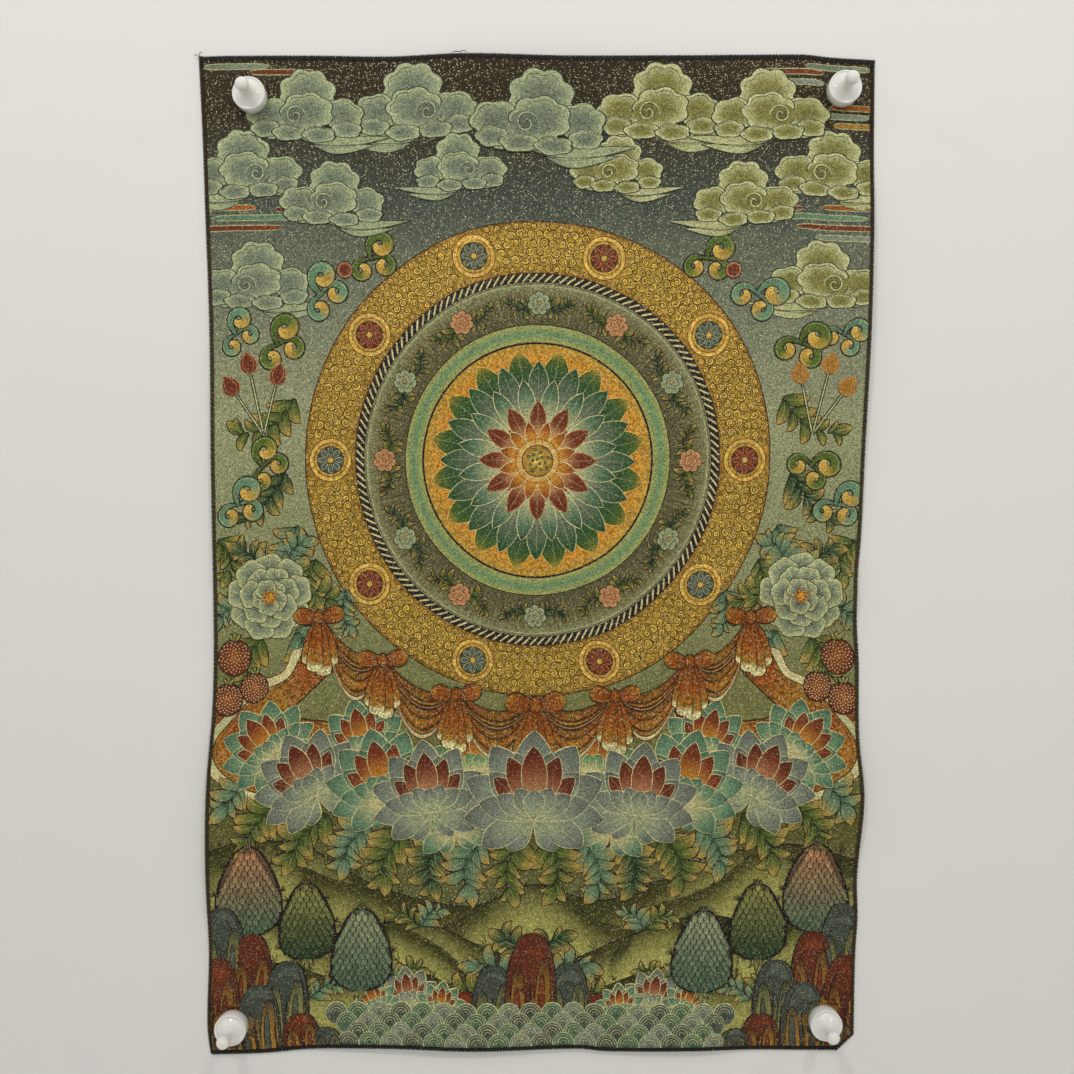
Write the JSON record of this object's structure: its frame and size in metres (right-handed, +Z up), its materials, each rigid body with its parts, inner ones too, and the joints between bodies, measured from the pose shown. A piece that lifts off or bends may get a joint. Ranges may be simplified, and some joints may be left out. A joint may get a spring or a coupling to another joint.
{
  "type": "embroidered thangka with wall push pins",
  "caption": "Tall brocade wall hanging with an overlocked edge, held flat on a wall by white push pins at its corners.",
  "frame": {"origin": "on the cloth's back, at the middle of its width and height, where it lies flat on the wall", "axes": "+Z up along the cloth's height, -Y out of the worked side, +Y into the wall, +X to the viewer's right"},
  "size_m": [0.6003, 0.0401, 0.9094],
  "materials": {
    "brocade": "woven, with fine metallic threads",
    "white_plastic": "gloss"
  },
  "bodies": {
    "root": {"cloth": "brocade", "pin_top_left": "white_plastic", "pin_top_right": "white_plastic", "pin_bottom_left": "white_plastic", "pin_bottom_right": "white_plastic"}
  },
  "joints": []
}
